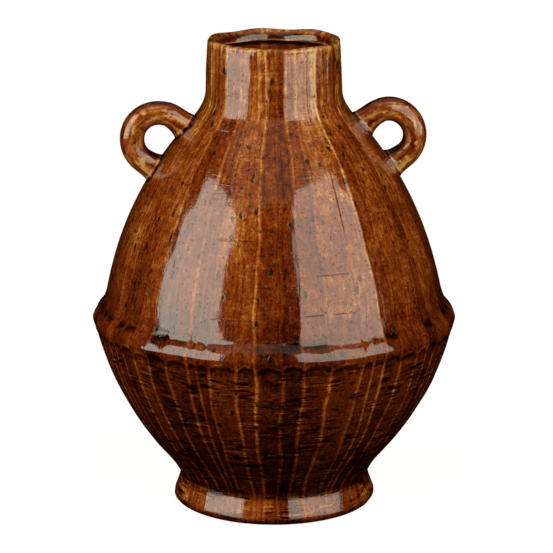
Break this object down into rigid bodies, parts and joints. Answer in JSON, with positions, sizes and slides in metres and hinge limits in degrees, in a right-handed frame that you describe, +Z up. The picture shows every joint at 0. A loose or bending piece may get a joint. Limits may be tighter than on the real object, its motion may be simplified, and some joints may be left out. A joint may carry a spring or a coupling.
{
  "type": "vase",
  "caption": "Stoneware vase with a round shouldered body, a raised belly seam, a short neck, a foot ring and ring handles, in glossy amber glaze.",
  "frame": {"origin": "centre of the foot ring, on the surface that the vase stands on", "axes": "+Z up through the mouth; the two ring handles lie along -X and +X"},
  "size_m": [0.2286, 0.2286, 0.3],
  "materials": {
    "foot_glaze": "glossy dark amber glaze, pooled and nearly black in the crease, wiped off the resting band",
    "bare_stoneware": "fired stoneware, glazed thinly inside and bare underneath",
    "bowl_glaze": "glossy dark amber glaze over combed clay, golden where it breaks over the ribs",
    "coil_glaze": "glossy dark amber glaze with dark blotches",
    "shoulder_glaze": "glossy amber glaze with golden ribs and dark iron specks",
    "neck_glaze": "glossy amber glaze with golden ribs and dark iron specks",
    "lip_glaze": "glossy amber glaze, thin and golden on the rim",
    "handle_glaze": "glossy amber glaze, mottled golden on the high places"
  },
  "bodies": {
    "root": {"foot_ring": "foot_glaze", "floor_disc": "bare_stoneware", "lower_bowl": "bowl_glaze", "belly_coil": "coil_glaze", "shoulder_dome": "shoulder_glaze", "neck_collar": "neck_glaze", "lip_coil": "lip_glaze", "handle_left": "handle_glaze", "handle_right": "handle_glaze"}
  },
  "joints": []
}
